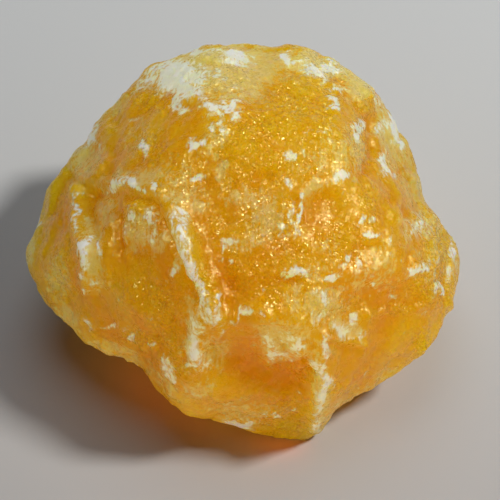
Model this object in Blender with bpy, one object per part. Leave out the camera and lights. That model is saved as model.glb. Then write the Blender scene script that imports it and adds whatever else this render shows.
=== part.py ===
"""A raw chunk of orange calcite, broken out of a larger mass and worn a little at its edges.

It is one solid. The stone rests on a flat underside, and its broad, domed face looks up
and to the front. Lengths are in metres and +Z is up. The front is -Y. The origin is on the
surface that the stone rests on, below the middle of its box.

The shape is made in four steps: a block is cleaved along the stone's fracture faces, its
edges are worn round, ridges and hollows are worked into the faces, and the underside is
trimmed flat.
"""

import math

import bmesh
import bpy
import numpy as np
from mathutils import Matrix, Vector, noise

MM = 0.001

# Driving dimensions
BLOCK_SIDE = 110 * MM
MIDDLE = Vector((0.0, -2.1, 22.0)) * MM  # the stone's middle, that its faces are measured from
FACE_LIFT = math.radians(56)  # how far the broad face looks up from the horizontal
GRAIN = 1.9 * MM  # cell of the mesh
WEAR_ROUNDS = 3  # passes of smoothing that wear the sharp edges
SHARP_ANGLE = math.radians(55)  # edges steeper than this are shaded sharp

# The broad face's own axes: across to the right, up along the face, and out of it.
ACROSS = Vector((1.0, 0.0, 0.0))
ALONG = Vector((0.0, math.sin(FACE_LIFT), math.cos(FACE_LIFT)))
OUT = Vector((0.0, -math.cos(FACE_LIFT), math.sin(FACE_LIFT)))

# Sides round the broad face. Each is a rim line with a facet in front of it and one behind.
# name: (clock angle of the side in degrees, counterclockwise from the right,
#        reach of the rim from the middle and how far out along OUT it stands, in mm,
#        slope of the facet in front and of the facet behind, in degrees from OUT)
SIDES = {
    "crown": (83, 35.4, -8, 56, 112),
    "crown_right": (62, 35.0, -8, 62, 110),
    "upper_right": (28, 31.8, -6, 64, 108),
    "right_tip": (-5, 36.2, -5, 68, 106),
    "right_low": (-27, 38.2, -4, 60, 120),
    "lower_right": (-51, 35.6, -3.5, 58, 126),
    "foot": (-92, 33.0, -5.0, 62, 106),
    "lower_left": (236, 33.3, -4.5, 60, 124),
    "left_low": (217, 32.7, -4, 54, 122),
    "left_tip": (184, 37.6, -8, 66, 104),
    "left_high": (148, 31.9, -8, 60, 108),
    "crown_left": (133, 31.8, -8, 60, 108),
    "crown_corner": (118, 35.4, -9, 56, 110),
}

# Facets of the broad face: (clock angle, slope from OUT, distance from the middle in mm)
FACETS = {
    "top": (60, 9, 21.0),
    "upper_left": (140, 28, 22.0),
    "left": (190, 28, 23.2),
    "lower_left_flat": (228, 33, 22.5),
    "front": (275, 38, 24.5),
    "lower_right_flat": (318, 42, 25.5),
    "right": (10, 28, 24.6),
    "back_slope": (95, 30, 23.5),
}

# Faces of the hidden sides: (azimuth from +X, elevation, distance from the middle in mm)
HIDDEN_FACES = {
    "back": (94, 8, 31.5),
    "back_left": (136, -4, 32.0),
    "back_right": (46, 2, 32.5),
    "under_back": (99, -36, 29.5),
    "under_left": (198, -50, 28.5),
    "under_left_back": (152, -40, 29.0),
    "under_right": (-16, -48, 29.8),
    "under_right_back": (36, -44, 30.5),
    "under_front_left": (222, -52, 25.5),
}

# Ridges (height above 0) and hollows (below 0) of the broad face. Each follows a line of
# points (across, along) in mm: (height in mm, half width in mm, points)
STROKES = {
    "long_ridge": (2.0, 2.1, [(-13.0, 6.0), (-8.6, -3.0), (-4.0, -11.5)]),
    "valley_beside_ridge": (-1.8, 2.6, [(-6.0, 8.0), (-3.6, -1.0), (-0.5, -11.0)]),
    "fluted_hollow": (-2.2, 4.4, [(-21.0, 3.0), (-17.5, -2.5)]),
    "left_ridge": (1.3, 2.1, [(-27.3, 8.0), (-24.5, -9.0)]),
    "second_streak": (1.0, 2.2, [(-7.6, -13.0), (-7.6, -20.5)]),
    "bowl": (-3.6, 4.6, [(-0.5, -19.0), (6.5, -22.5)]),
    "bowl_rim": (1.0, 2.2, [(-2.5, -14.0), (1.0, -11.4), (9.5, -12.6)]),
    "bowl_wall": (1.7, 2.2, [(12.8, -16.5), (13.6, -29.5)]),
    "low_step": (-0.9, 2.4, [(15.0, -8.5), (24.0, -9.5), (31.0, -11.0)]),
    "upper_groove": (-1.2, 2.2, [(21.5, 21.0), (20.6, 11.0)]),
    "centre_dip": (-1.2, 3.8, [(13.0, 5.0), (16.0, 1.0)]),
}

# Chips off the rim: (clock angle, distance from the middle, depth, radius), lengths in mm
CHIPS = {
    "lower_left": (230, 30.5, 2.9, 5.0),
    "right": (13, 33.0, 1.8, 5.5),
    "crown": (80, 34.5, 0.9, 3.0),
    "crown_right": (66, 35.5, 0.8, 3.0),
    "lower_right": (-51, 34.5, 0.9, 7.0),
    "foot": (-62, 36.5, 2.2, 4.5),
}

# Uneven breakage: (size of a lump in mm, height in mm)
ROUGHNESS = [(13.0, 0.75), (5.0, 0.38)]

ORANGE = (0.86, 0.43, 0.045, 1.0)


def remove_objects():
    for item in list(bpy.data.objects):
        bpy.data.objects.remove(item, do_unlink=True)


def face_direction(clock, slope):
    """Unit vector leaning away from OUT by slope, towards the clock angle on the broad face."""
    turn = math.radians(clock)
    lean = math.radians(slope)
    sideways = ACROSS * math.cos(turn) + ALONG * math.sin(turn)
    return OUT * math.cos(lean) + sideways * math.sin(lean)


def world_direction(azimuth, elevation):
    turn = math.radians(azimuth)
    rise = math.radians(elevation)
    level = Vector((math.cos(turn), math.sin(turn), 0.0))
    return level * math.cos(rise) + Vector((0.0, 0.0, math.sin(rise)))


def fracture_planes():
    """All planes of the stone as (outward normal, distance from the middle)."""
    planes = []
    for clock, reach, depth, front_slope, back_slope in SIDES.values():
        for slope in (front_slope, back_slope):
            lean = math.radians(slope)
            distance = reach * math.sin(lean) + depth * math.cos(lean)
            planes.append((face_direction(clock, slope), distance * MM))
    for clock, slope, distance in FACETS.values():
        planes.append((face_direction(clock, slope), distance * MM))
    for azimuth, elevation, distance in HIDDEN_FACES.values():
        planes.append((world_direction(azimuth, elevation), distance * MM))
    return planes


def cut_off(mesh, point, normal):
    """Removes what lies beyond a plane and closes the cut with one flat face."""
    everything = mesh.verts[:] + mesh.edges[:] + mesh.faces[:]
    cut = bmesh.ops.bisect_plane(
        mesh, geom=everything, plane_co=point, plane_no=normal, clear_outer=True
    )
    border = [item for item in cut["geom_cut"] if isinstance(item, bmesh.types.BMEdge)]
    if border:
        bmesh.ops.contextual_create(mesh, geom=border)


def cleaved_block():
    """The block, in coordinates measured from the stone's middle."""
    mesh = bmesh.new()
    bmesh.ops.create_cube(mesh, size=BLOCK_SIDE)
    for normal, distance in fracture_planes():
        cut_off(mesh, normal * distance, normal)
    bmesh.ops.recalc_face_normals(mesh, faces=mesh.faces[:])
    return mesh


def worn(mesh):
    """The block as an even mesh with its sharp edges worn round."""
    data = bpy.data.meshes.new("cleaved_block")
    mesh.to_mesh(data)
    mesh.free()
    block = bpy.data.objects.new("cleaved_block", data)
    bpy.context.collection.objects.link(block)
    even = block.modifiers.new("even_mesh", "REMESH")
    even.mode = "VOXEL"
    even.voxel_size = GRAIN
    smooth = block.modifiers.new("wear", "SMOOTH")
    smooth.iterations = WEAR_ROUNDS
    depsgraph = bpy.context.evaluated_depsgraph_get()
    result = bpy.data.meshes.new_from_object(block.evaluated_get(depsgraph))
    bpy.data.objects.remove(block, do_unlink=True)
    bpy.data.meshes.remove(data)
    return result


def distance_to_path(spots, path):
    """Distance of each spot, an array of (across, along), from a path of straight runs."""
    nearest = np.full(len(spots), np.inf)
    for start, end in zip(path[:-1], path[1:]):
        start = np.array(start) * MM
        run = np.array(end) * MM - start
        share = np.clip((spots - start) @ run / (run @ run), 0.0, 1.0)
        gap = np.linalg.norm(spots - start - share[:, None] * run, axis=1)
        nearest = np.minimum(nearest, gap)
    return nearest


def work_broad_face(places, normals):
    """Raises the ridges and sinks the hollows, fading out where the surface turns away."""
    spots = np.column_stack((places @ np.array(ACROSS), places @ np.array(ALONG)))
    facing = np.clip(normals @ np.array(OUT) * 1.6, 0.0, 1.0)
    lift = np.zeros(len(places))
    for height, half_width, path in STROKES.values():
        gap = distance_to_path(spots, path)
        lift += height * MM * np.exp(-((gap / (half_width * MM)) ** 2))
    return places + (lift * facing)[:, None] * np.array(OUT)


def chip_rim(places):
    """Presses the chips into the rim, towards the stone's middle."""
    spots = np.column_stack((places @ np.array(ACROSS), places @ np.array(ALONG)))
    for clock, distance, depth, radius in CHIPS.values():
        turn = math.radians(clock)
        outward = np.array((math.cos(turn), math.sin(turn)))
        gap = np.linalg.norm(spots - outward * distance * MM, axis=1)
        press = depth * MM * np.exp(-((gap / (radius * MM)) ** 2))
        inward = -(np.array(ACROSS) * outward[0] + np.array(ALONG) * outward[1])
        places = places + press[:, None] * inward
    return places


def roughen(places, normals):
    lift = np.zeros(len(places))
    for lump, height in ROUGHNESS:
        waves = [noise.noise(Vector(place) / (lump * MM)) for place in places]
        lift += height * MM * np.array(waves)
    return places + lift[:, None] * normals


def worked(data):
    """The worn block with its ridges, hollows, chips and roughness."""
    count = len(data.vertices)
    places = np.empty(count * 3)
    normals = np.empty(count * 3)
    data.vertices.foreach_get("co", places)
    data.vertex_normals.foreach_get("vector", normals)
    places = places.reshape(count, 3)
    normals = normals.reshape(count, 3)
    places = work_broad_face(places, normals)
    places = chip_rim(places)
    places = roughen(places, normals)
    data.vertices.foreach_set("co", places.ravel())
    data.update()


def stand_on_flat_base(data):
    """Trims the underside flat at Z = 0 and centres the stone over the origin."""
    mesh = bmesh.new()
    mesh.from_mesh(data)
    bmesh.ops.translate(mesh, verts=mesh.verts[:], vec=MIDDLE)
    cut_off(mesh, (0.0, 0.0, 0.0), (0.0, 0.0, -1.0))
    across = [vertex.co.x for vertex in mesh.verts]
    deep = [vertex.co.y for vertex in mesh.verts]
    middle = Vector((min(across) + max(across), min(deep) + max(deep), 0.0)) / 2
    bmesh.ops.transform(mesh, matrix=Matrix.Translation(-middle), verts=mesh.verts[:])
    bmesh.ops.recalc_face_normals(mesh, faces=mesh.faces[:])
    mesh.to_mesh(data)
    mesh.free()


def calcite_material():
    material = bpy.data.materials.new("orange_calcite")
    material.use_nodes = True
    shader = material.node_tree.nodes["Principled BSDF"]
    shader.inputs["Base Color"].default_value = ORANGE
    shader.inputs["Roughness"].default_value = 0.35
    shader.inputs["Metallic"].default_value = 0.0
    return material


def make_stone():
    data = worn(cleaved_block())
    worked(data)
    stand_on_flat_base(data)
    data.name = "calcite"
    data.shade_smooth()
    data.set_sharp_from_angle(angle=SHARP_ANGLE)
    data.materials.clear()
    data.materials.append(calcite_material())
    stone = bpy.data.objects.new("calcite", data)
    bpy.context.collection.objects.link(stone)
    return stone


def main():
    remove_objects()
    make_stone()


main()
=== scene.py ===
"""The looks of the calcite specimen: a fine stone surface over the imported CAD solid, its
frosted orange material, and a plain studio around it.

Lengths are in metres. The stone's broad face has its own axes: across (to the right), along
(up the face) and out (away from it). Places on that face are given in millimetres as
(across, along), measured from the stone's middle.
"""

import math

import bmesh
import bpy
import numpy as np
from mathutils import Matrix, Vector


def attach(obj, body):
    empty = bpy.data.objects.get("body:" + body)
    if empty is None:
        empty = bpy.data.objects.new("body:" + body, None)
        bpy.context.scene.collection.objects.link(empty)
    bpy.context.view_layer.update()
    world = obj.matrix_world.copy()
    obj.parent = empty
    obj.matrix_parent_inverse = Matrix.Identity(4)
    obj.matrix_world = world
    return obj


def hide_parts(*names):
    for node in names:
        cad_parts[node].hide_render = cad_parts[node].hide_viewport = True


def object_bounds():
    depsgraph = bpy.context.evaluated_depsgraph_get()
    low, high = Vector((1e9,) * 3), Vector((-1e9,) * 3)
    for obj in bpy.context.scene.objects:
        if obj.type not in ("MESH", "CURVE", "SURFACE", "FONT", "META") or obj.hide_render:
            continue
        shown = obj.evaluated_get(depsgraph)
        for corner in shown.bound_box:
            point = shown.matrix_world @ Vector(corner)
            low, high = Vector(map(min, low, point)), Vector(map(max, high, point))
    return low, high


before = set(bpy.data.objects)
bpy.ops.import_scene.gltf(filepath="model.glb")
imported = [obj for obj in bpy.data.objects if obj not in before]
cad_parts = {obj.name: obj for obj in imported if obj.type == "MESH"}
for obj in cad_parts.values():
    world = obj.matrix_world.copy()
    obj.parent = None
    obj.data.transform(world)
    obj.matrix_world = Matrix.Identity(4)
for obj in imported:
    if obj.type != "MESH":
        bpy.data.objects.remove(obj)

CAD_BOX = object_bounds()
MM = 0.001

# The broad face, as the CAD solid has it
MIDDLE = np.array((0.0, -3.2, 22.0)) * MM
FACE_LIFT = math.radians(56)
ACROSS = np.array((1.0, 0.0, 0.0))
ALONG = np.array((0.0, math.sin(FACE_LIFT), math.cos(FACE_LIFT)))
OUT = np.array((0.0, -math.cos(FACE_LIFT), math.sin(FACE_LIFT)))

# The viewpoint, straight out from the broad face
CAMERA_LENS = 150.0  # mm
CAMERA_SENSOR = 36.0  # mm
VIEW_WIDTH = 81.4 * MM  # the picture's width at the stone's middle
VIEW_DISTANCE = VIEW_WIDTH * CAMERA_LENS / CAMERA_SENSOR
VIEW_CENTRE = np.array((1.3, -1.63))  # on the broad face, in mm

# The fine mesh
CELL = 0.43 * MM
WEAR_ROUNDS = 14
BASE_BAND = 0.6 * MM  # above the surface it rests on, where the stone stays as the CAD has it
EDGE_ROUNDS = 24  # rounds of averaging over the mesh, to tell worn edges from hollows

# How the marks of the broad face get their torn outlines
STROKE_WOBBLE = 0.35  # mm
FRAY = [(2.2, 0.75), (0.9, 0.45)]  # layers of (size of the lumps, how far they move a mark), mm
FEATHER = 1.2  # how much wider the marks are painted, as their ragged edges eat into them

# Upright ribs, and where they are: (across, along, half width, half length, turn, share)
RIB_SIZE = (1.1, 7.0)  # width and length, mm
RIB_HEIGHT = 0.38 * MM
RIBBED = [
    (-20.0, 0.5, 6.5, 8.0, 0.0, 1.0),
    (-17.0, 15.0, 7.0, 6.0, 0.0, 0.5),
    (-8.5, -4.0, 3.2, 9.0, 20.0, 0.5),
]

# Crisp relief of the broad face: (height in mm, half width in mm, points)
STROKES = {
    "long_ridge_crest": (0.65, 1.1, [
        (-11.6, 5.2), (-10.6, 1.5), (-9.4, -2.0),
        (-7.8, -6.0), (-5.8, -9.8), (-4.5, -12.6),
    ]),
    "long_ridge_elbow": (0.6, 0.7, [(-5.0, -11.6), (-3.6, -8.6)]),
    "groove_left_of_ridge": (-1.0, 0.5, [
        (-13.2, 3.4), (-12.2, 0.0), (-10.6, -3.4),
        (-9.6, -6.4), (-7.6, -9.6),
    ]),
    "valley_floor": (-0.6, 1.5, [(-7.4, 4.0), (-6.0, 0.0), (-3.2, -6.0), (-2.6, -11.0)]),
    "ledge_drop": (-0.9, 1.0, [(-24.4, 7.6), (-20.0, 7.8), (-16.0, 7.0), (-13.6, 5.6)]),
    "ledge_lip": (0.45, 0.8, [(-24.2, 9.0), (-20.5, 9.6), (-16.5, 9.2), (-13.8, 8.0)]),
    "ledge_crack": (-0.5, 0.35, [(-28.4, 11.4), (-27.0, 9.6), (-24.9, 8.8)]),
    "left_ridge_crest": (0.8, 0.8, [
        (-27.0, 8.0), (-27.2, 4.0), (-26.8, 0.6),
        (-25.6, -2.6), (-25.4, -8.6),
    ]),
    "flute_1": (-0.7, 0.7, [(-25.2, 7.6), (-24.8, 4.0), (-23.8, 0.4)]),
    "flute_2": (-0.7, 0.8, [(-20.6, 6.4), (-20.2, 2.0), (-19.8, -1.6)]),
    "flute_3": (-0.6, 0.6, [(-14.4, 5.2), (-13.6, 1.0)]),
    "flute_rib": (0.5, 1.6, [(-17.4, 5.2), (-17.0, 1.0)]),
    "pale_streak": (0.6, 1.2, [(-7.2, -12.6), (-7.6, -16.4), (-7.8, -19.8)]),
    "pale_streak_groove": (-0.4, 0.5, [(-9.4, -13.8), (-9.3, -19.6)]),
    "pale_lens": (0.6, 0.7, [(-13.2, -18.8), (-12.0, -21.2), (-10.9, -22.8)]),
    "lower_left_ridge": (0.5, 0.6, [
        (-25.6, -12.4), (-24.0, -14.0), (-21.0, -14.2),
        (-17.4, -16.0), (-14.4, -17.0),
    ]),
    "rim_step": (-0.4, 0.6, [(-23.6, -15.6), (-20.4, -18.4), (-16.4, -19.4)]),
    "bowl_floor": (-0.9, 2.8, [(1.0, -19.4), (6.6, -22.6)]),
    "bowl_lip": (0.7, 0.6, [(-1.0, -13.2), (0.2, -11.4), (1.4, -10.6), (3.2, -11.4), (4.6, -12.4)]),
    "bowl_thread": (0.4, 0.35, [(-1.0, -13.2), (-2.6, -14.2), (-4.0, -15.6)]),
    "bowl_brow": (0.4, 0.8, [(4.6, -13.4), (10.0, -13.6), (13.6, -14.8)]),
    "eye_patch": (1.1, 2.2, [(4.8, -17.6), (8.6, -17.4)]),
    "eye_patch_edge": (0.5, 0.4, [(4.6, -20.3), (6.4, -19.8), (8.2, -19.5)]),
    "eye_patch_drop": (-0.6, 0.7, [(6.0, -21.0), (9.8, -19.6)]),
    "bowl_wall_crest": (0.8, 1.0, [
        (13.4, -15.8), (13.2, -19.0), (12.6, -21.6),
        (12.5, -26.0), (11.6, -30.0),
    ]),
    "bowl_wall_cut": (-0.5, 0.6, [(10.8, -19.6), (11.4, -23.0), (10.8, -26.6)]),
    "step_edge": (0.6, 0.5, [(13.6, -15.7), (16.8, -16.1), (19.6, -16.9)]),
    "step_drop": (-0.6, 0.8, [(14.2, -16.9), (19.4, -18.0)]),
    "facet_edge": (0.5, 0.7, [(20.2, -12.0), (24.0, -11.6), (28.0, -11.0), (33.5, -10.6)]),
    "facet_left_edge": (0.5, 0.5, [(20.2, -11.4), (19.8, -16.0), (19.6, -19.0)]),
    "cleavage_line_1": (0.45, 0.35, [(26.0, -8.2), (27.0, -9.4), (28.2, -10.5)]),
    "cleavage_line_2": (0.45, 0.35, [(28.8, -7.4), (30.2, -9.8)]),
    "cleavage_line_3": (0.45, 0.4, [(30.6, -0.2), (31.2, -3.2), (31.4, -6.0)]),
    "cleavage_line_4": (0.4, 0.35, [(33.4, -1.8), (34.0, -4.6)]),
    "diagonal_glint": (0.45, 0.35, [(19.8, 21.8), (21.2, 23.6)]),
    "right_groove": (-0.8, 0.9, [(21.3, 20.0), (21.2, 15.2), (20.2, 11.2)]),
    "right_dip": (-0.8, 0.8, [(26.6, 5.0), (26.8, 3.8)]),
    "right_low_dip": (-0.6, 0.8, [(27.4, -1.0), (27.4, -4.4)]),
    "centre_streak": (0.5, 0.5, [(9.5, 7.4), (9.5, 4.6), (9.0, 2.4)]),
    "centre_streak_drop": (-0.4, 0.6, [(10.7, 6.2), (10.6, 2.4)]),
    "centre_shelf": (0.6, 0.6, [(6.2, -5.0), (8.6, -5.2), (11.0, -4.8)]),
    "centre_shelf_drop": (-0.5, 0.6, [(6.0, -6.5), (9.2, -6.5)]),
}

# Pits of the broad face: (across, along, half width, depth), in mm
PITS = [
    (6.9, -16.9, 0.5, 1.6),
    (9.9, -19.2, 0.6, 0.8),
    (24.3, 6.4, 0.7, 0.6),
    (-8.2, 21.8, 0.8, 0.5),
    (-29.4, -6.4, 0.8, 0.5),
    (3.0, -8.0, 0.9, 0.5),
]

# Frosted bruises of the broad face: (across, along, half width, half length, turn, strength),
# in mm and degrees. The turn is counterclockwise from the right.
FROST = [
    # crown
    (-11.0, 26.6, 2.8, 1.7, 35, 1.0),
    (-9.4, 24.4, 2.4, 1.5, -15, 0.95),
    (-7.8, 26.4, 1.9, 1.3, 0, 0.85),
    (-12.8, 28.4, 2.4, 0.9, 35, 0.75),
    (-14.8, 26.0, 2.2, 1.2, 45, 0.7),
    (-16.8, 24.4, 1.4, 0.8, 40, 0.55),
    (-10.8, 22.6, 0.9, 1.5, 10, 0.85),
    (-9.6, 21.0, 1.2, 0.8, 20, 0.7),
    (-5.2, 21.3, 1.9, 1.0, -10, 0.85),
    (-6.4, 23.2, 1.1, 0.7, 0, 0.6),
    (-1.8, 22.0, 2.1, 1.1, 0, 0.8),
    (-0.7, 20.2, 1.2, 1.1, 20, 0.7),
    (-3.2, 18.8, 0.8, 1.5, 12, 0.7),
    (-4.9, 18.4, 0.6, 1.0, 0, 0.6),
    (-7.0, 31.0, 3.2, 0.9, 5, 0.7),
    (-1.0, 29.9, 2.4, 0.9, -10, 0.8),
    (-4.4, 27.0, 0.8, 1.0, 0, 0.6),
    (-2.0, 25.6, 1.6, 0.5, -20, 0.4),
    (7.2, 29.2, 0.6, 1.1, 5, 1.0),
    (9.0, 28.9, 1.6, 0.6, 0, 0.55),
    (12.0, 27.2, 1.9, 1.2, -25, 0.7),
    (14.4, 28.4, 2.0, 0.7, -12, 0.65),
    (13.6, 25.8, 0.6, 1.0, -20, 0.6),
    (15.6, 24.7, 1.4, 0.6, -10, 0.65),
    (14.6, 22.2, 0.6, 1.3, -25, 0.8),
    (15.3, 20.9, 0.6, 0.5, 0, 0.85),
    (19.1, 18.5, 1.0, 1.4, 0, 0.7),
    (18.9, 16.8, 0.8, 0.8, 0, 0.7),
    (23.2, 19.0, 0.6, 1.2, 10, 0.45),
    (25.0, 18.2, 0.8, 2.2, 20, 1.0),
    (26.0, 16.0, 0.5, 1.1, 10, 0.85),
    (22.4, 22.6, 0.5, 1.3, 32, 0.6),
    # upper left
    (-24.2, 17.2, 0.9, 1.8, -30, 0.85),
    (-23.4, 15.8, 0.5, 0.9, 0, 0.6),
    (-17.4, 19.3, 1.1, 0.5, -25, 0.65),
    (-16.2, 15.0, 0.5, 1.3, 0, 0.75),
    (-14.4, 15.2, 0.4, 1.1, 0, 0.4),
    (-7.1, 15.9, 1.3, 0.9, 12, 1.0),
    (-8.2, 15.0, 0.5, 0.6, 0, 0.6),
    (-7.4, 13.4, 0.3, 0.9, -20, 0.4),
    (-7.2, 9.8, 1.2, 0.5, 0, 1.0),
    (-18.0, 9.5, 1.2, 0.6, -25, 1.0),
    (-16.6, 8.7, 0.8, 0.4, -30, 0.9),
    (-20.6, 8.9, 2.3, 0.5, 8, 0.75),
    (-22.8, 8.6, 1.2, 0.5, 0, 0.65),
    (-14.2, 8.4, 0.5, 1.4, 5, 0.85),
    (-33.5, 3.2, 0.5, 0.9, -15, 0.75),
    (-17.6, 3.9, 0.8, 1.4, 10, 0.7),
    (-15.5, 3.8, 0.6, 1.6, 10, 0.75),
    (-18.8, 2.0, 0.5, 1.0, 10, 0.45),
    (-14.3, 0.6, 0.9, 1.6, 0, 0.55),
    # lower left
    (-26.0, -1.4, 0.6, 1.0, 0, 0.8),
    (-23.0, -0.8, 0.5, 1.8, 8, 0.5),
    (-25.7, -8.4, 0.3, 0.8, 0, 0.75),
    (-24.0, -7.0, 0.5, 1.0, -15, 0.5),
    (-11.2, -5.4, 0.6, 0.9, 20, 0.8),
    (-24.9, -13.1, 0.8, 0.5, -30, 0.85),
    (-24.2, -14.0, 0.4, 0.6, 10, 0.75),
    (-21.2, -14.0, 1.2, 0.35, -8, 0.85),
    (-19.0, -14.6, 0.3, 0.6, -30, 0.5),
    (-15.6, -12.7, 0.6, 0.3, 0, 0.8),
    (-17.8, -15.5, 0.8, 0.5, 10, 0.95),
    (-16.9, -16.2, 0.6, 0.3, -20, 0.65),
    (-14.6, -16.9, 0.7, 0.4, 10, 0.85),
    (-19.8, -10.3, 0.7, 0.3, 0, 0.5),
    (-8.4, -20.2, 1.4, 0.5, 0, 0.7),
    (-5.6, -20.6, 1.8, 0.8, 20, 0.45),
    (-8.0, -25.0, 0.9, 0.5, 0, 0.5),
    # centre
    (-1.4, 0.2, 1.1, 0.7, 0, 0.95),
    (-2.8, -0.6, 0.6, 0.8, 0, 0.6),
    (-2.9, -3.0, 0.9, 0.3, 25, 0.6),
    (-1.4, -3.3, 0.3, 0.5, 0, 0.8),
    (8.0, 13.6, 1.2, 0.9, 0, 0.9),
    (10.0, 14.4, 0.5, 1.0, 10, 0.55),
    (7.1, 9.0, 0.5, 1.0, 30, 0.8),
    (6.2, 1.6, 0.5, 0.7, 0, 0.85),
    (16.2, 10.4, 1.7, 0.9, 25, 0.9),
    (15.4, 9.4, 0.8, 0.4, 0, 0.65),
    (17.6, 10.8, 0.7, 0.5, 0, 0.5),
    (12.9, 12.3, 0.6, 0.5, 0, 0.4),
    (13.4, 17.0, 1.1, 0.6, 0, 0.5),
    (10.2, 17.6, 0.9, 0.8, 0, 0.5),
    (23.0, 12.6, 0.7, 2.3, 3, 0.8),
    (23.9, 10.4, 1.0, 0.5, 0, 0.65),
    (22.6, 8.4, 0.5, 0.7, 0, 0.4),
    (19.4, 3.4, 0.8, 1.0, -20, 0.85),
    (21.0, 3.2, 0.6, 0.9, 20, 0.65),
    (20.4, 0.7, 1.3, 0.5, 0, 0.9),
    (18.4, 2.6, 0.4, 0.8, 0, 0.5),
    (28.4, 2.0, 1.8, 1.8, 0, 0.45),
    (17.4, -3.6, 0.45, 0.7, 0, 0.95),
    (19.2, -4.0, 0.4, 1.0, -5, 0.65),
    (16.4, -4.8, 0.8, 0.5, 20, 0.75),
    (14.6, -6.0, 1.1, 0.6, 20, 0.9),
    (20.6, -7.4, 0.6, 0.5, 0, 0.85),
    (8.6, -5.2, 2.4, 0.6, -2, 1.0),
    (6.8, -4.8, 0.6, 0.6, 0, 0.6),
    (3.5, -7.8, 0.6, 0.3, 0, 0.65),
    (24.2, -8.7, 0.8, 0.7, 30, 0.7),
    (23.6, -0.8, 0.5, 1.4, 0, 0.4),
    # right wing
    (28.9, -4.6, 2.1, 0.6, 22, 1.0),
    (29.4, -3.6, 0.6, 0.5, 0, 0.75),
    (26.0, -3.4, 0.9, 0.6, 0, 0.4),
    (34.6, -2.0, 0.4, 2.3, 8, 0.85),
    (33.8, -5.6, 0.5, 1.8, -10, 0.65),
    (32.0, -7.8, 0.9, 0.7, -30, 0.8),
    (31.6, -6.2, 0.7, 0.5, 0, 0.65),
    (29.0, -11.6, 0.9, 0.9, 0, 0.4),
    # bowl
    (0.8, -11.2, 1.0, 0.6, 20, 0.9),
    (-0.6, -12.6, 0.4, 0.8, -35, 0.8),
    (3.0, -11.3, 0.8, 0.4, -25, 0.75),
    (4.4, -12.2, 0.4, 0.4, 0, 0.6),
    (5.0, -18.4, 1.1, 1.6, 10, 0.75),
    (8.6, -16.9, 1.1, 1.3, 0, 0.65),
    (6.8, -18.7, 1.6, 0.9, 0, 0.75),
    (4.2, -16.2, 0.9, 0.7, 0, 0.65),
    (7.4, -15.0, 1.7, 0.7, 0, 0.5),
    (13.4, -17.0, 0.5, 1.5, 4, 0.75),
    (13.9, -18.9, 0.7, 0.8, -40, 0.5),
    (11.7, -20.3, 1.0, 0.8, -30, 0.65),
    (13.1, -20.8, 0.8, 1.1, 0, 0.65),
    (13.4, -24.0, 0.5, 0.5, 0, 1.0),
    (15.1, -24.1, 0.4, 0.4, 0, 1.0),
    (11.4, -27.8, 0.6, 1.0, 0, 0.65),
    (12.0, -29.6, 0.9, 1.0, 0, 0.55),
    (9.4, -25.2, 0.6, 0.4, 0, 0.6),
    (5.9, -28.4, 0.8, 0.35, 0, 0.8),
    (8.0, -27.7, 0.9, 0.3, 15, 0.65),
    (16.2, -14.6, 1.4, 0.7, -10, 0.65),
    (18.1, -13.0, 0.4, 1.0, -15, 0.9),
    (19.0, -16.0, 0.7, 1.2, 0, 0.65),
    (12.6, -12.6, 1.3, 1.0, 0, 0.5),
    (13.0, -9.0, 1.0, 0.8, 0, 0.5),
    (20.4, -21.4, 0.25, 0.6, -15, 0.65),
    (-0.4, -30.2, 2.8, 0.8, 0, 0.85),
    (-1.8, -26.4, 1.6, 0.5, -10, 0.45),
    (3.4, -28.6, 1.4, 0.5, 0, 0.4),
]

# Frosted bands of the broad face: (half width in mm, strength, points)
FROST_BANDS = [
    (1.5, 0.66, [(-10.2, 4.6), (-9.9, 1.0), (-8.9, -3.0), (-7.4, -6.4), (-6.0, -9.6), (-4.8, -12.4)]),
    (0.8, 0.5, [(-12.3, 4.4), (-11.4, 0.6), (-10.4, -2.0)]),
    (0.5, 0.9, [(-3.7, -8.4), (-3.8, -10.8)]),
    (0.5, 0.65, [(-26.8, 8.0), (-26.8, 4.0), (-27.0, 1.2)]),
    (0.7, 0.6, [(-25.0, 0.6), (-25.2, -3.0), (-25.3, -5.6)]),
    (1.5, 0.52, [(-7.1, -12.8), (-7.6, -16.4), (-7.7, -19.4)]),
    (0.6, 0.72, [(-13.1, -19.0), (-12.0, -21.2), (-11.0, -22.7)]),
    (0.25, 0.6, [(-1.2, -13.2), (-2.6, -14.2), (-4.0, -15.6)]),
    (0.45, 0.9, [(9.4, 7.4), (9.5, 4.6), (9.0, 2.4)]),
    (0.6, 0.55, [(8.2, 6.0), (7.6, 3.4), (8.6, 1.0)]),
    (0.8, 0.68, [(13.8, -22.6), (12.9, -24.6), (12.7, -27.0)]),
    (0.25, 0.5, [(14.4, -15.9), (17.0, -16.2), (19.4, -17.0)]),
]

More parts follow.
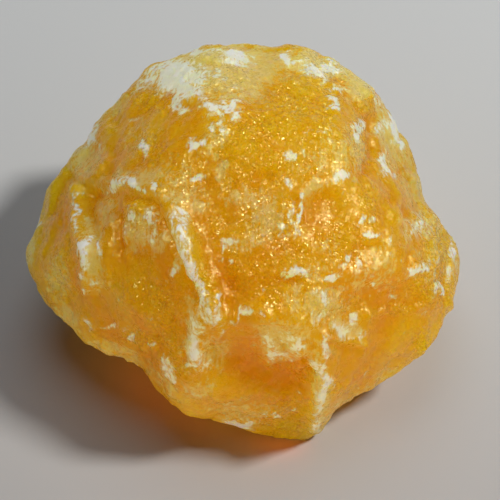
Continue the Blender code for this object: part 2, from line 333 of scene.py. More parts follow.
# Thin milky film of the broad face, in the same terms as FROST
FILM = [
    (-3.0, 28.0, 9.5, 4.0, 0, 0.95),
    (0.0, 24.5, 4.5, 2.4, 0, 0.7),
    (12.0, 28.5, 8.0, 1.7, -8, 0.9),
    (19.5, 25.6, 2.6, 3.2, -35, 0.9),
    (10.0, 22.0, 4.0, 2.0, 0, 0.3),
    (24.5, 17.0, 2.2, 5.4, 15, 0.75),
    (-20.0, 21.8, 3.2, 1.6, 40, 0.45),
    (-25.3, 13.2, 2.4, 3.6, -25, 0.65),
    (-17.0, 10.6, 6.4, 1.5, 0, 0.6),
    (-10.4, 10.0, 3.4, 3.0, 0, 0.45),
    (-9.6, 7.2, 3.2, 1.4, 10, 0.65),
    (-7.2, 5.4, 1.6, 1.0, 0, 0.8),
    (-17.6, 17.0, 4.0, 2.4, 0, 0.3),
    (-4.6, 16.4, 2.4, 3.6, -15, 0.5),
    (-3.4, 11.4, 1.4, 2.6, 15, 0.8),
    (-1.4, 7.0, 1.7, 1.4, 0, 0.8),
    (2.0, 6.0, 3.0, 2.6, 0, 0.6),
    (4.2, 3.4, 3.2, 3.2, 0, 0.7),
    (1.6, -0.4, 2.6, 1.6, 0, 0.6),
    (14.0, 13.0, 5.4, 4.4, 30, 0.45),
    (18.6, 14.6, 1.4, 3.6, 5, 0.75),
    (11.4, 8.4, 1.4, 2.8, -35, 0.8),
    (28.0, 8.4, 1.5, 4.4, 20, 0.45),
    (29.4, 2.0, 3.2, 3.0, 0, 0.6),
    (31.6, -2.4, 3.2, 5.4, 5, 0.4),
    (22.4, -4.5, 3.2, 4.4, 0, 0.5),
    (18.5, -7.0, 1.6, 2.2, 0, 0.6),
    (13.4, -10.6, 3.2, 3.2, 0, 0.75),
    (16.4, -14.4, 2.6, 1.3, -20, 0.9),
    (12.6, -5.0, 2.0, 2.4, 0, 0.35),
    (14.0, -1.0, 2.4, 1.8, 0, 0.45),
    (8.6, -9.6, 1.6, 2.4, 0, 0.55),
    (6.6, -16.2, 4.4, 3.2, 0, 0.75),
    (12.9, -24.4, 1.8, 7.0, 4, 0.75),
    (16.2, -27.4, 3.4, 2.0, 35, 0.45),
    (23.0, -22.4, 6.0, 1.1, 32, 0.4),
    (0.0, -28.0, 6.0, 1.9, 0, 0.5),
    (-7.4, -24.6, 2.0, 1.6, 30, 0.5),
    (-6.0, -18.6, 3.6, 3.2, 30, 0.6),
    (-7.8, -15.8, 1.5, 4.8, 4, 0.9),
    (-17.0, 1.2, 3.2, 3.4, 0, 0.65),
    (-24.4, -2.4, 1.7, 5.4, 6, 0.75),
    (-22.2, 4.6, 1.5, 3.4, 8, 0.55),
    (-30.0, -6.4, 1.9, 3.4, -8, 0.7),
    (-34.4, -0.6, 0.9, 4.4, 0, 0.6),
    (-28.4, -12.6, 4.0, 1.1, -52, 0.6),
    (-20.6, -18.0, 5.4, 1.0, -25, 0.6),
    (-12.6, -23.0, 4.6, 0.9, -48, 0.6),
    (-23.4, -5.6, 1.8, 2.6, 0, 0.5),
    (-13.4, -0.6, 1.2, 2.6, -10, 0.65),
    (-11.2, -4.8, 1.0, 2.2, -20, 0.6),
]

# Colour of the clean stone on the broad face, with painted light and shade in it. The deep orange
# in the valley, bowl, grooves, flutes and dips is the stone's own clean colour and painted shade.
# The yellow on the lower left and lower right is its own colour and painted light.
# (across, along, half width, half length, turn, tone). Tone runs from -1, deep orange, to 1, yellow.
TONES_AND_PAINTED_LIGHT = [
    (-6.6, 1.0, 2.0, 3.6, 10, -0.8),
    (-3.4, -6.0, 1.6, 5.0, 12, -0.9),
    (-2.6, -10.6, 1.1, 1.8, 0, -1.0),
    (-11.6, 14.6, 2.4, 3.4, 0, -0.4),
    (-19.6, 14.6, 1.8, 2.4, 0, -0.3),
    (-18.4, 6.6, 1.6, 0.9, 0, -0.7),
    (-20.3, 2.0, 1.0, 4.4, 4, -0.7),
    (-14.2, 4.2, 0.8, 2.2, 6, -0.6),
    (-24.6, 5.6, 0.9, 2.6, 4, -0.7),
    (-26.9, -5.4, 0.8, 2.8, 0, -0.7),
    (-29.6, 3.6, 1.9, 5.4, 0, -0.5),
    (-28.6, 9.4, 1.4, 1.4, 0, -0.6),
    (0.8, -19.4, 2.8, 3.8, 0, -0.9),
    (6.8, -22.8, 3.4, 2.6, 0, -1.0),
    (10.0, -19.4, 1.0, 1.4, 0, -1.0),
    (9.4, -26.4, 1.6, 2.2, 0, -0.6),
    (12.4, 3.0, 3.0, 3.4, 0, -0.55),
    (6.6, -0.8, 3.0, 1.4, 0, -0.5),
    (19.4, 11.0, 1.6, 1.4, 0, -0.7),
    (20.9, 17.4, 1.0, 4.0, 0, -0.75),
    (26.6, 4.6, 0.9, 1.2, 0, -0.8),
    (27.5, -3.4, 0.8, 2.0, 0, -0.6),
    (25.0, -14.6, 5.6, 3.6, 0, 0.35),
    (1.6, -4.6, 3.6, 3.6, 0, -0.45),
    (6.4, -6.7, 2.4, 1.0, 0, -0.8),
    (5.0, -9.8, 2.4, 1.6, 0, -0.5),
    (-17.2, -18.2, 1.6, 1.2, 0, -0.5),
    (1.0, 9.6, 3.0, 2.0, 0, -0.5),
    (3.4, 16.0, 2.0, 1.6, 0, -0.4),
    (23.6, 6.0, 1.4, 2.4, 0, -0.4),
    (-4.4, 8.4, 1.4, 3.0, 0, -0.4),
    (-19.6, -7.4, 3.8, 3.4, 0, 0.5),
    (-22.4, -10.4, 3.0, 2.4, 0, 0.4),
    (-16.0, -4.0, 3.2, 2.4, 0, 0.3),
    (4.2, 27.0, 2.2, 2.0, 0, 0.5),
    (9.6, 24.2, 4.0, 2.0, 0, 0.3),
    (18.6, 22.6, 1.8, 1.8, 0, 0.35),
    (29.0, 8.0, 1.6, 3.4, 20, 0.2),
    (23.4, -2.4, 2.0, 3.6, 0, 0.25),
    (17.0, -18.6, 2.6, 1.2, 0, 0.25),
    (16.4, -25.6, 3.0, 2.4, 0, 0.4),
    (-33.4, 0.0, 1.2, 4.4, 0, 0.3),
    (-8.6, -25.6, 3.0, 2.0, 0, 0.2),
]

# Where the broad face is full of small glinting flats, in the same terms as FROST
GLITTER = [
    (-4.0, 26.6, 5.4, 3.0, 0, 0.7),
    (12.8, 26.6, 3.6, 2.8, 0, 0.9),
    (8.0, 23.2, 4.2, 3.0, 0, 0.9),
    (14.2, 22.4, 1.6, 2.8, -20, 1.0),
    (20.3, 22.4, 1.2, 1.8, 30, 1.0),
    (3.6, 18.6, 5.4, 2.0, 0, 0.9),
    (1.4, 15.0, 2.8, 3.8, 0, 1.0),
    (9.2, 12.2, 3.4, 1.8, -15, 1.0),
    (4.2, 11.4, 2.2, 2.8, 0, 1.0),
    (-1.6, 13.6, 2.4, 5.4, 25, 0.9),
    (2.6, 8.2, 1.8, 2.8, 0, 0.8),
    (12.5, 15.5, 4.4, 3.4, 0, 0.7),
    (18.8, 15.4, 1.7, 3.6, 0, 0.9),
    (4.0, 3.2, 4.4, 3.8, 0, 0.9),
    (-1.6, 9.0, 1.8, 2.4, 0, 0.9),
    (-3.8, 2.0, 1.6, 3.0, 0, 0.5),
    (8.0, -3.2, 4.4, 2.4, 0, 0.9),
    (7.0, -7.6, 5.2, 3.0, 0, 1.0),
    (2.6, -4.6, 3.0, 1.8, 0, 0.7),
    (16.0, -0.8, 3.4, 3.2, 0, 0.8),
    (-1.3, -5.0, 1.0, 3.6, 0, 0.9),
    (-12.4, -11.6, 2.2, 3.8, 0, 1.0),
    (-11.0, -17.0, 1.4, 3.0, 0, 1.0),
    (-15.8, -16.2, 3.2, 1.0, -15, 0.8),
    (-17.6, -8.0, 4.0, 3.0, 0, 0.35),
    (-29.4, -5.8, 1.6, 3.4, 0, 1.0),
    (-28.2, -1.4, 0.5, 1.8, 0, 0.9),
    (-6.6, -7.6, 1.8, 3.0, 25, 0.9),
    (-15.6, 14.8, 2.2, 2.2, 0, 0.8),
    (-14.6, 22.6, 2.8, 2.0, 0, 0.7),
    (-9.4, 9.6, 3.6, 3.4, 0, 0.5),
    (-17.0, 3.6, 2.8, 2.4, 0, 0.7),
    (-4.6, -17.7, 1.4, 0.7, 0, 1.0),
    (-9.8, -21.0, 1.8, 1.0, 0, 1.0),
    (14.2, -24.0, 1.8, 1.0, 0, 1.0),
    (11.2, -21.8, 2.2, 1.2, 0, 0.9),
    (8.0, -28.4, 3.4, 2.8, 0, 0.8),
    (31.5, -1.2, 2.0, 2.8, 0, 1.0),
    (30.6, -7.4, 2.8, 2.8, 0, 0.9),
    (25.4, -11.2, 2.4, 0.9, 0, 0.8),
    (29.2, -16.6, 1.2, 2.0, 0, 0.8),
    (20.8, 4.8, 1.2, 2.8, 0, 0.8),
    (14.0, -10.6, 4.4, 2.4, 0, 0.7),
    (29.6, 3.0, 1.6, 1.4, 0, 0.6),
]


# ---------------------------------------------------------------- noise on points

def hashed(cells, seed):
    """A number from 0 to 1 for each whole-numbered (x, y, z), the same each run."""
    mixed = cells[:, 0] * 73856093 ^ cells[:, 1] * 19349663 ^ cells[:, 2] * 83492791
    mixed = (mixed ^ seed * 2654435761) & 0xFFFFFFFF
    mixed = ((mixed ^ (mixed >> 15)) * 2246822519) & 0xFFFFFFFF
    mixed = ((mixed ^ (mixed >> 13)) * 3266489917) & 0xFFFFFFFF
    return (mixed ^ (mixed >> 16)) / 0xFFFFFFFF


def smooth_noise(points, size, seed):
    """Smooth noise from -1 to 1 with lumps of about that size."""
    scaled = points / size
    corner = np.floor(scaled).astype(np.int64)
    part = scaled - corner
    ease = part * part * (3.0 - 2.0 * part)
    total = np.zeros(len(points))
    for offset in np.ndindex(2, 2, 2):
        shares = np.where(offset, ease, 1.0 - ease)
        total += shares.prod(axis=1) * hashed(corner + np.array(offset), seed)
    return total * 2.0 - 1.0


def rough_noise(points, size, seed, octaves):
    """Smooth noise with finer and weaker layers added."""
    total = np.zeros(len(points))
    for octave in range(octaves):
        total += smooth_noise(points, size / 2**octave, seed + octave) / 2**octave
    return total


def tilted_grains(points, size, slope, seed, sharpness=9.0):
    """Height, in metres, of a surface made of small tilted flats of about that size."""
    scaled = points / size
    home = np.floor(scaled).astype(np.int64)
    total = np.zeros(len(points))
    weights = np.full(len(points), 1e-9)
    for offset in np.ndindex(3, 3, 3):
        cell = home + np.array(offset) - 1
        seat = cell + np.column_stack([hashed(cell, seed + k) for k in range(3)])
        tilt = np.column_stack([hashed(cell, seed + 3 + k) - 0.5 for k in range(3)])
        away = scaled - seat
        weight = np.exp(-sharpness * (away**2).sum(axis=1))
        total += weight * (away * tilt).sum(axis=1)
        weights += weight
    return total / weights * size * slope * 2.0


# ---------------------------------------------------------------- the fine surface

def positions(data):
    places = np.empty(len(data.vertices) * 3)
    data.vertices.foreach_get("co", places)
    return places.reshape(-1, 3)


def surface_normals(data):
    normals = np.empty(len(data.vertices) * 3)
    data.vertex_normals.foreach_get("vector", normals)
    return normals.reshape(-1, 3)


def set_positions(data, places):
    data.vertices.foreach_set("co", places.astype(np.float32).ravel())
    data.update()


def face_places(places):
    """(across, along) of each point as the viewpoint sees it, in mm from the stone's middle."""
    from_middle = places - MIDDLE
    flat = np.column_stack((from_middle @ ACROSS, from_middle @ ALONG)) / MM
    nearness = VIEW_DISTANCE / (VIEW_DISTANCE - from_middle @ OUT)
    return VIEW_CENTRE + (flat - VIEW_CENTRE) * nearness[:, None]


def fine_copy(node):
    """The CAD solid as an even, fine mesh with its facets worn away."""
    mesh = bmesh.new()
    mesh.from_mesh(node.data)
    bmesh.ops.remove_doubles(mesh, verts=mesh.verts[:], dist=0.001 * MM)
    data = bpy.data.meshes.new("stone_blank")
    mesh.to_mesh(data)
    mesh.free()
    blank = bpy.data.objects.new("stone_blank", data)
    bpy.context.scene.collection.objects.link(blank)
    even = blank.modifiers.new("even_mesh", "REMESH")
    even.mode = "VOXEL"
    even.voxel_size = CELL
    wear = blank.modifiers.new("wear", "SMOOTH")
    wear.iterations = WEAR_ROUNDS
    depsgraph = bpy.context.evaluated_depsgraph_get()
    fine = bpy.data.meshes.new_from_object(blank.evaluated_get(depsgraph))
    bpy.data.objects.remove(blank, do_unlink=True)
    return fine


def distance_to_path(spots, path):
    """How far each spot is from the nearest point of a line through the path's points."""
    nearest = np.full(len(spots), np.inf)
    for start, end in zip(path[:-1], path[1:]):
        start = np.array(start)
        run = np.array(end) - start
        share = np.clip((spots - start) @ run / (run @ run), 0.0, 1.0)
        gap = np.linalg.norm(spots - start - share[:, None] * run, axis=1)
        nearest = np.minimum(nearest, gap)
    return nearest


def oval(spots, across, along, half_width, half_length, turn=0.0):
    """1 at the middle of an oval on the broad face, falling to 0 outside it."""
    angle = math.radians(turn)
    aside = spots[:, 0] - across
    up = spots[:, 1] - along
    first = (aside * math.cos(angle) + up * math.sin(angle)) / half_width
    second = (up * math.cos(angle) - aside * math.sin(angle)) / half_length
    return np.exp(-((first**2 + second**2) ** 1.2))


def facing(normals):
    """1 where the surface belongs to the broad face, 0 where it turns away."""
    return np.clip(normals @ OUT * 3.0 + 0.4, 0.0, 1.0)


def relief(places, normals):
    """Ridges, grooves and pits that the broad face shows, in metres."""
    spots = face_places(places)
    wobble = np.column_stack([smooth_noise(places, 2.2 * MM, 40 + k) for k in range(2)])
    spots = spots + STROKE_WOBBLE * wobble
    lift = np.zeros(len(places))
    for height, half_width, path in STROKES.values():
        lift += height * np.exp(-((distance_to_path(spots, path) / half_width) ** 2))
    for across, along, half_width, depth in PITS:
        lift -= depth * oval(spots, across, along, half_width, half_width)
    return lift * facing(normals) * MM


def flutes(places, normals):
    """Fine upright ribs, in metres."""
    spots = face_places(places)
    stretched = np.column_stack((spots / RIB_SIZE, np.zeros(len(spots))))
    share = np.zeros(len(spots))
    for *shape, strength in RIBBED:
        share = np.maximum(share, strength * oval(spots, *shape))
    return smooth_noise(stretched, 1.0, 60) * share * facing(normals) * RIB_HEIGHT


def breakage(places, glitter):
    """Uneven fracture surface all round the stone, in metres."""
    broad = rough_noise(places, 8.0 * MM, 1, 3) * 0.30 * MM
    chunks = tilted_grains(places, 6.0 * MM, 0.14, 13)
    flakes = tilted_grains(places, 2.6 * MM, 0.30, 21) * (0.35 + 0.65 * glitter)
    grains = tilted_grains(places, 1.2 * MM, 0.34, 31) * (0.4 + 0.8 * glitter)
    return broad + chunks + flakes + grains


def mean_of_neighbours(values, edges, rounds):
    """Values spread over the mesh by averaging along its edges."""
    count = np.bincount(edges.ravel(), minlength=len(values)).astype(float)
    shape = (len(values),) + (1,) * (values.ndim - 1)
    for _ in range(rounds):
        total = np.zeros_like(values)
        np.add.at(total, edges[:, 0], values[edges[:, 1]])
        np.add.at(total, edges[:, 1], values[edges[:, 0]])
        values = (values + total / count.reshape(shape)) / 2.0
    return values


def bulge(data, rounds):
    """How far each point stands out from its surroundings, in mm."""
    edges = np.empty(len(data.edges) * 2, np.int64)
    data.edges.foreach_get("vertices", edges)
    places = positions(data)
    around = mean_of_neighbours(places, edges.reshape(-1, 2), rounds)
    return ((places - around) * surface_normals(data)).sum(axis=1) / MM


def painted(spots, table):
    """The strongest of the table's ovals at each spot, by its last number."""
    value = np.zeros(len(spots))
    for across, along, half_width, half_length, turn, strength in table:
        shape = oval(spots, across, along, half_width * FEATHER, half_length * FEATHER, turn)
        value = np.maximum(value, strength * shape)
    return value


def banded(spots, table):
    """The strongest of the table's bands at each spot."""
    value = np.zeros(len(spots))
    for half_width, strength, path in table:
        gap = distance_to_path(spots, path) / half_width
        value = np.maximum(value, strength * np.exp(-(gap**2.4)))
    return value


def tones_and_painted_light(spots):
    """The clean stone's tone at each spot, with painted shade in the hollows and painted light on the
    lower sides: every oval of the table adds its own.
    """
    total = np.zeros(len(spots))
    for *shape, tone_and_painted_light in TONES_AND_PAINTED_LIGHT:
        total += tone_and_painted_light * oval(spots, *shape)
    return np.clip(total, -1.0, 1.0)


def frayed(spots, places):
    """The spots moved about a little, so that whatever is painted there gets a torn outline."""
    moves = np.zeros_like(spots)
    for axis in range(2):
        for layer, (size, reach) in enumerate(FRAY):
            seed = 91 + 4 * axis + layer
            moves[:, axis] += smooth_noise(places, size * MM, seed) * reach
    return spots + moves


def store(data, name, values):
    """Keeps one number for each of the mesh's points, for the material to read."""
    attribute = data.attributes.new(name, "FLOAT", "POINT")
    attribute.data.foreach_set("value", values.astype(np.float32))


def glitter_zones(places, spots, front):
    """Where the surface is full of small glinting flats, from 0 to 1."""
    hidden = np.clip(smooth_noise(places, 9.0 * MM, 51) * 1.4, 0.0, 1.0)
    return front * painted(spots, GLITTER) + (1.0 - front) * hidden


def shape_surface(data, places, normals, glitter):
    """Moves the mesh's points out or in to make its relief, and returns where they now are."""
    rest = np.clip((places[:, 2] - CAD_BOX[0].z) / BASE_BAND, 0.0, 1.0)
    lift = relief(places, normals) + flutes(places, normals) + breakage(places, glitter)
    places = places + (lift * rest)[:, None] * normals
    places[:, 2] = np.maximum(places[:, 2], CAD_BOX[0].z)
    set_positions(data, places)
    return places


def store_marks(data, places, spots, front, glitter):
    """Keeps on the mesh how frosted, filmy, yellow, worn and glinting each point is; the yellow also
    carries painted light and shade.

    The broad face has its marks from the tables, and the hidden sides have them from noise.
    """
    edge = np.clip(bulge(data, EDGE_ROUNDS) * 2.2, -1.0, 1.0)
    torn = frayed(spots, places)
    front_frost = np.maximum(painted(torn, FROST), banded(torn, FROST_BANDS))
    hidden_frost = np.clip(rough_noise(places, 5.0 * MM, 71, 3) * 1.1 - 0.2 + 0.3 * edge, 0.0, 0.9)
    hidden_film = np.clip(rough_noise(places, 9.0 * MM, 76, 2) + 0.2, 0.0, 0.9)
    store(data, "frost", front * front_frost + (1.0 - front) * hidden_frost)
    store(data, "film", front * painted(torn, FILM) + (1.0 - front) * hidden_film)
    # The tone holds painted shade in the broad face's hollows and painted light on its lower sides,
    # besides the stone's own colour
    store(data, "tone_and_painted_light", front * tones_and_painted_light(spots) + rough_noise(places, 8.0 * MM, 81, 2) * 0.3)
    store(data, "edge", edge)
    store(data, "glitter", glitter)


def make_stone(node):
    data = fine_copy(node)
    places = positions(data)
    normals = surface_normals(data)
    spots = face_places(places)
    front = facing(normals)
    glitter = glitter_zones(places, spots, front)
    places = shape_surface(data, places, normals, glitter)
    store_marks(data, places, spots, front, glitter)
    data.shade_smooth()
    stone = bpy.data.objects.new("stone", data)
    bpy.context.scene.collection.objects.link(stone)
    return stone


# ---------------------------------------------------------------- the material

class Nodes:
    """Short calls for building a material's node tree."""

    def __init__(self, material):
        material.use_nodes = True
        self.tree = material.node_tree
        self.shader = self.tree.nodes["Principled BSDF"]
        self.place = self.add("ShaderNodeTexCoord").outputs["Object"]

    def add(self, kind, **settings):
        node = self.tree.nodes.new(kind)
        for name, value in settings.items():
            setattr(node, name, value)
        return node

    def link(self, source, target):
        self.tree.links.new(source, target)

    def attribute(self, name):
        return self.add("ShaderNodeAttribute", attribute_name=name).outputs["Fac"]

    def noise(self, size, detail=2.0, distortion=0.0, stretch=1.0):
        """Noise from 0 to 1 with lumps of about size, in metres, stretched up the broad face."""
        mapping = self.add("ShaderNodeMapping", vector_type="TEXTURE")
        mapping.inputs["Rotation"].default_value = (-FACE_LIFT, 0.0, 0.0)
        mapping.inputs["Scale"].default_value = (1.0, 1.0, stretch)
        self.link(self.place, mapping.inputs["Vector"])
        texture = self.add("ShaderNodeTexNoise")
        texture.inputs["Scale"].default_value = 1.0 / size
        texture.inputs["Detail"].default_value = detail
        texture.inputs["Distortion"].default_value = distortion
        self.link(mapping.outputs["Vector"], texture.inputs["Vector"])
        return texture.outputs["Fac"]

    def flats(self, size):
        """A random direction for each of the small flats of about size, in metres, and a number."""
        texture = self.add("ShaderNodeTexVoronoi")
        texture.inputs["Scale"].default_value = 1.0 / size
        self.link(self.place, texture.inputs["Vector"])
        centred = self.add("ShaderNodeVectorMath", operation="SUBTRACT")
        self.link(texture.outputs["Color"], centred.inputs[0])
        centred.inputs[1].default_value = (0.5, 0.5, 0.5)
        pick = self.add("ShaderNodeSeparateXYZ")
        self.link(texture.outputs["Color"], pick.inputs["Vector"])
        return centred.outputs["Vector"], pick.outputs["X"]

    def tilted(self, normal, towards, share):
        """The normal leaning by a share towards a direction."""
        lean = self.add("ShaderNodeVectorMath", operation="SCALE")
        self.link(towards, lean.inputs[0])
        self.link(share, lean.inputs["Scale"])
        total = self.add("ShaderNodeVectorMath", operation="ADD")
        self.link(normal, total.inputs[0])
        self.link(lean.outputs["Vector"], total.inputs[1])
        unit = self.add("ShaderNodeVectorMath", operation="NORMALIZE")
        self.link(total.outputs["Vector"], unit.inputs[0])
        return unit.outputs["Vector"]

    def math(self, operation, first, second=0.0):
        node = self.add("ShaderNodeMath", operation=operation)
        for socket, value in zip(node.inputs, (first, second)):
            if isinstance(value, (int, float)):
                socket.default_value = value
            else:
                self.link(value, socket)
        return node.outputs["Value"]

    def centred(self, value):
        """A value from 0 to 1 moved to run from -0.5 to 0.5."""
        return self.math("SUBTRACT", value, 0.5)

    def weighed(self, start, *terms):
        """start plus each value times its weight."""
        total = start
        for value, weight in terms:
            total = self.math("ADD", self.math("MULTIPLY", value, weight), total)
        return total

    def span(self, value, low, high, to_low=0.0, to_high=1.0):
        """The value's range low to high, eased to the range to_low to to_high."""
        node = self.add("ShaderNodeMapRange", interpolation_type="SMOOTHSTEP")
        node.inputs["From Min"].default_value = low
        node.inputs["From Max"].default_value = high
        node.inputs["To Min"].default_value = to_low
        node.inputs["To Max"].default_value = to_high
        self.link(value, node.inputs["Value"])
        return node.outputs["Result"]

    def ramp(self, value, stops):
        """A colour for each value, from (position, colour) stops."""
        node = self.add("ShaderNodeValToRGB")
        elements = node.color_ramp.elements
        while len(elements) < len(stops):
            elements.new(1.0)
        for element, (position, colour) in zip(elements, stops):
            element.position = position
            element.color = (*colour, 1.0)
        self.link(value, node.inputs["Fac"])
        return node.outputs["Color"]

    def mix(self, share, first, second):
        node = self.add("ShaderNodeMix", data_type="RGBA")
        self.link(share, node.inputs["Factor"])
        for socket, colour in ((node.inputs[6], first), (node.inputs[7], second)):
            if isinstance(colour, tuple):
                socket.default_value = (*colour, 1.0)
            else:
                self.link(colour, socket)
        return node.outputs[2]

    def bump(self, height, strength, distance):
        node = self.add("ShaderNodeBump")
        node.inputs["Distance"].default_value = distance
        self.link(strength, node.inputs["Strength"])
        self.link(height, node.inputs["Height"])
        return node.outputs["Normal"]


DEEP_ORANGE = (0.62, 0.255, 0.001)
ORANGE = (0.62, 0.290, 0.002)
AMBER = (0.63, 0.335, 0.004)
GOLD = (0.63, 0.385, 0.010)
MILKY = (0.65, 0.495, 0.165)
FROST_CREAM = (0.65, 0.60, 0.37)
FROST_WHITE = (0.77, 0.79, 0.69)

GLINT_TINT = (1.0, 0.86, 0.45)
REFRACTION = 1.56
# Light that spreads inside the stone: how much of it, how deep the red goes, and how far red,
# green and blue go beside it
LIGHT_SHARE = 0.8
LIGHT_DEPTH = 80.0 * MM
LIGHT_SPREAD = (1.0, 0.7, 0.1)

# Sizes of the noise and of the glinting flats
DRIFT = 5.0 * MM
VEINS = 1.3 * MM
RAGGED = 1.2 * MM
FIBRES = 0.5 * MM
SPECKS = 0.34 * MM
POLISH = 2.2 * MM
RIPPLES = 0.9 * MM
SMALL_FLATS = 0.95 * MM
FINE_FLATS = 0.31 * MM


def clean_colour(n, drift):
    """The clean stone, from deep orange to gold, with the painted shade in the hollows and the
    painted light on the lower sides that the tone attribute holds.
    """
    veins = n.noise(VEINS, detail=4.0, distortion=0.6)
    tone_and_painted_light = n.weighed(
        0.5,
        (n.attribute("tone_and_painted_light"), 0.22),
        (n.centred(drift), 0.75),
        (n.centred(veins), 0.28),
        # The glitter share makes the stone yellower where its flats glint: partly its own colour,
        # partly painted sheen so that the glints read yellow
        (n.attribute("glitter"), 0.12),
    )
    return n.ramp(tone_and_painted_light, [(0.18, DEEP_ORANGE), (0.42, ORANGE), (0.60, AMBER), (0.85, GOLD)])


def paint_stone(n):
    """Clean stone, under milky film, under frosted bruises. Returns how frosted it is."""
    drift = n.noise(DRIFT, detail=3.0, stretch=2.2)
    clean = clean_colour(n, drift)
    ragged = n.centred(n.noise(RAGGED, detail=5.0, distortion=0.9))
    fibres = n.centred(n.noise(FIBRES, detail=3.0, distortion=0.3, stretch=4.0))
    specks = n.centred(n.noise(SPECKS, detail=2.0))
    uneven = n.weighed(0.0, (ragged, 1.4), (fibres, 1.3), (specks, 0.55))
    film_cover = n.attribute("film")
    veil = n.weighed(0.0, (film_cover, 1.35), (uneven, 1.1), (n.centred(drift), 0.5))
    film = n.span(veil, 0.30, 0.94, 0.0, 0.84)
    bruise = n.weighed(
        0.0,
        (n.attribute("frost"), 1.3),
        (film_cover, 0.30),
        (uneven, 1.0),
        (n.attribute("edge"), 0.06),
    )
    frost = n.span(bruise, 0.36, 1.05, 0.0, 0.93)
    frost_colour = n.ramp(bruise, [(0.72, FROST_CREAM), (1.0, FROST_WHITE)])
    n.link(n.mix(frost, n.mix(film, clean, MILKY), frost_colour), n.shader.inputs["Base Color"])
    return frost


def face_stone(n, frost):
    """Small flats that lean each their own way, some of them polished, between duller stone."""
    glitter = n.attribute("glitter")
    small_way, _ = n.flats(SMALL_FLATS)
    fine_way, fine_pick = n.flats(FINE_FLATS)
    polish = n.noise(POLISH, detail=3.0)
    dull = n.weighed(0.0, (n.span(polish, 0.3, 0.7, 0.34, 0.44), 1.0), (frost, 0.14))
    shiny = n.math("MULTIPLY", n.span(fine_pick, 0.35, 0.40), n.span(glitter, 0.0, 0.6, 0.5, 1.0))
    roughness = n.math("SUBTRACT", dull, n.math("MULTIPLY", shiny, 0.22))
    n.link(roughness, n.shader.inputs["Roughness"])

    ripples = n.noise(RIPPLES, detail=2.0, distortion=1.2)
    coarse = n.bump(ripples, n.span(glitter, 0.0, 1.0, 0.2, 0.6), 0.3 * MM)
    small = n.tilted(coarse, small_way, n.span(glitter, 0.0, 1.0, 0.12, 0.7))
    fine = n.tilted(small, fine_way, n.span(glitter, 0.0, 0.8, 0.20, 1.15))
    n.link(fine, n.shader.inputs["Normal"])


def stone_material():
    material = bpy.data.materials.new("orange_calcite")
    n = Nodes(material)
    frost = paint_stone(n)
    face_stone(n, frost)
    n.shader.inputs["IOR"].default_value = REFRACTION
    n.shader.inputs["Specular Tint"].default_value = (*GLINT_TINT, 1.0)
    n.shader.inputs["Subsurface Weight"].default_value = LIGHT_SHARE
    n.shader.inputs["Subsurface Radius"].default_value = LIGHT_SPREAD
    n.shader.inputs["Subsurface Scale"].default_value = LIGHT_DEPTH
    return material


# ---------------------------------------------------------------- the studio

FLOOR_SIDE = 3.0
# The floor's colour has painted shade in it: darker and warmer near the camera, lighter and cooler
# far off, standing in for the fall-off of the lamps
FLOOR_FAR_PAINTED_LIGHT = (0.75, 0.78, 0.80)
FLOOR_NEAR_PAINTED_SHADE = (0.54, 0.52, 0.51)
FLOOR_PAINTED_FALLOFF = (-0.11, 0.10)  # from near to far, along Y
FLOOR_ROUGHNESS = 0.75

WORLD_COLOUR = (0.94, 0.95, 1.0)
WORLD_STRENGTH = 0.022

# Lamps: (name, azimuth, elevation, distance, width, watts, colour), with angles in degrees
KEY = ("key", 6, 52, 0.80, 0.125, 3.9, (1.0, 0.97, 0.92))
TOP_FILL = ("top_fill", 95, 70, 0.80, 0.60, 1.4, (0.97, 0.98, 1.0))

# Soft lamps that light the stone alone, in place of the light that spreads inside it
SOFT_LAMPS = [
    ("front_fill", 245, 16, 0.70, 0.40, 1.45, (1.0, 0.93, 0.80)),
    ("low_fill", 282, -12, 0.70, 0.40, 2.8, (1.0, 0.64, 0.16)),
    ("back_fill", 110, 50, 0.70, 0.40, 1.7, (1.0, 0.96, 0.88)),
]

# Lamps that only the stone's small flats mirror
SPARKLE_COLOUR = (0.92, 1.0, 0.80)
SPARKLE_LAMPS = [
    ("sparkle_0", 335, 42, 0.80, 0.125, 2.2, SPARKLE_COLOUR),
    ("sparkle_1", 45, 55, 0.80, 0.125, 2.2, SPARKLE_COLOUR),
    ("sparkle_2", 190, 62, 0.80, 0.125, 2.2, SPARKLE_COLOUR),
]

# A warm lamp under the stone's overhang, for the light that the stone lets through
GLOW_ENDS = np.array([(10.0, -30.0, 2.5), (-20.0, -15.0, 7.0)]) * MM
GLOW_WIDTH = 8.0 * MM
GLOW_WATTS = 0.00044
GLOW_COLOUR = (1.0, 0.11, 0.005)


def make_floor():
    bpy.ops.mesh.primitive_plane_add(size=FLOOR_SIDE, location=(0.0, 0.0, 0.0))
    floor = bpy.context.object
    floor.name = "floor"
    material = bpy.data.materials.new("floor")
    n = Nodes(material)
    along = n.add("ShaderNodeSeparateXYZ")
    n.link(n.place, along.inputs["Vector"])
    # Painted shade: the floor darkens towards the camera
    painted_falloff = n.span(along.outputs["Y"], *FLOOR_PAINTED_FALLOFF)
    n.link(n.mix(painted_falloff, FLOOR_NEAR_PAINTED_SHADE, FLOOR_FAR_PAINTED_LIGHT), n.shader.inputs["Base Color"])
    n.shader.inputs["Roughness"].default_value = FLOOR_ROUGHNESS
    floor.data.materials.append(material)


def direction(azimuth, elevation):
    """Unit vector towards an azimuth, counterclockwise from +X, and an elevation."""
    turn = math.radians(azimuth)
    rise = math.radians(elevation)
    return Vector((math.cos(turn) * math.cos(rise), math.sin(turn) * math.cos(rise), math.sin(rise)))


def aim(item, away):
    """Turns a lamp or a camera to face against the direction away."""
    item.rotation_euler = away.to_track_quat("Z", "Y").to_euler()


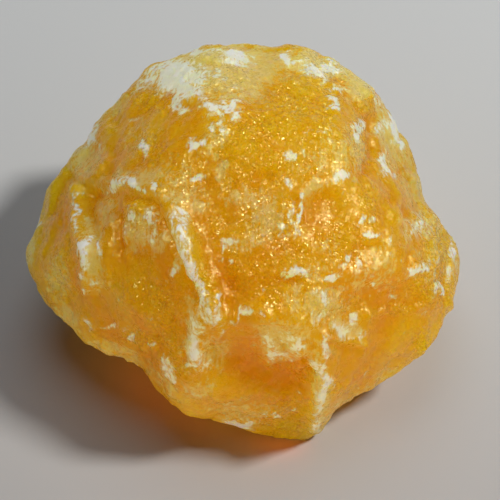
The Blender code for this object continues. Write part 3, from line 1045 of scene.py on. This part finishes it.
def make_lamp(name, azimuth, elevation, distance, width, watts, colour):
    """A round lamp that faces the stone's middle."""
    light = bpy.data.lights.new(name, "AREA")
    light.shape = "DISK"
    light.size = width
    light.energy = watts
    light.color = colour
    lamp = bpy.data.objects.new(name, light)
    bpy.context.scene.collection.objects.link(lamp)
    away = direction(azimuth, elevation)
    lamp.location = Vector(MIDDLE) + away * distance
    aim(lamp, away)
    lamp.visible_camera = False
    return lamp


def make_glow():
    """A long lamp that looks down at the floor under the overhang."""
    run = Vector(GLOW_ENDS[1] - GLOW_ENDS[0])
    light = bpy.data.lights.new("light_through_stone", "AREA")
    light.shape = "ELLIPSE"
    light.size = run.length
    light.size_y = GLOW_WIDTH
    light.energy = GLOW_WATTS
    light.color = GLOW_COLOUR
    lamp = bpy.data.objects.new("light_through_stone", light)
    bpy.context.scene.collection.objects.link(lamp)
    lamp.location = Vector(GLOW_ENDS.mean(axis=0))
    side = Vector((0.0, 0.0, 1.0)).cross(run).normalized()
    up = run.normalized().cross(side)
    lamp.rotation_euler = Matrix((run.normalized(), side, up)).transposed().to_euler()
    lamp.visible_camera = False
    lamp.visible_glossy = False


def only_on(lamp, item):
    """Lets a lamp light one object alone, past everything else."""
    lit = bpy.data.collections.new(f"{lamp.name}_lights_only")
    lit.objects.link(item)
    lamp.light_linking.receiver_collection = lit
    lamp.light_linking.blocker_collection = lit


def light_room():
    """The lamps that light the stone and the floor alike."""
    make_lamp(*KEY)
    top_fill = make_lamp(*TOP_FILL)
    top_fill.visible_glossy = False
    make_glow()


def light_stone(stone):
    """The lamps that light only the stone."""
    for lamp_row in SOFT_LAMPS:
        lamp = make_lamp(*lamp_row)
        lamp.visible_glossy = False
        only_on(lamp, stone)
    for lamp_row in SPARKLE_LAMPS:
        lamp = make_lamp(*lamp_row)
        lamp.visible_diffuse = False
        only_on(lamp, stone)


def make_world():
    world = bpy.data.worlds.new("studio")
    world.use_nodes = True
    background = world.node_tree.nodes["Background"]
    background.inputs["Color"].default_value = (*WORLD_COLOUR, 1.0)
    background.inputs["Strength"].default_value = WORLD_STRENGTH
    bpy.context.scene.world = world


def make_camera():
    camera_data = bpy.data.cameras.new("camera")
    camera_data.lens = CAMERA_LENS
    camera_data.sensor_width = CAMERA_SENSOR
    camera_data.clip_start = 0.01
    camera = bpy.data.objects.new("camera", camera_data)
    bpy.context.scene.collection.objects.link(camera)
    target = MIDDLE + (ACROSS * VIEW_CENTRE[0] + ALONG * VIEW_CENTRE[1]) * MM
    camera.location = Vector(target + OUT * VIEW_DISTANCE)
    aim(camera, Vector(OUT))
    bpy.context.scene.camera = camera


make_camera()
make_world()
make_floor()
light_room()
stone = make_stone(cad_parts["calcite"])
stone.data.materials.append(stone_material())
light_stone(stone)
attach(stone, "root")
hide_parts("calcite")
bpy.context.scene.view_settings.view_transform = "Standard"
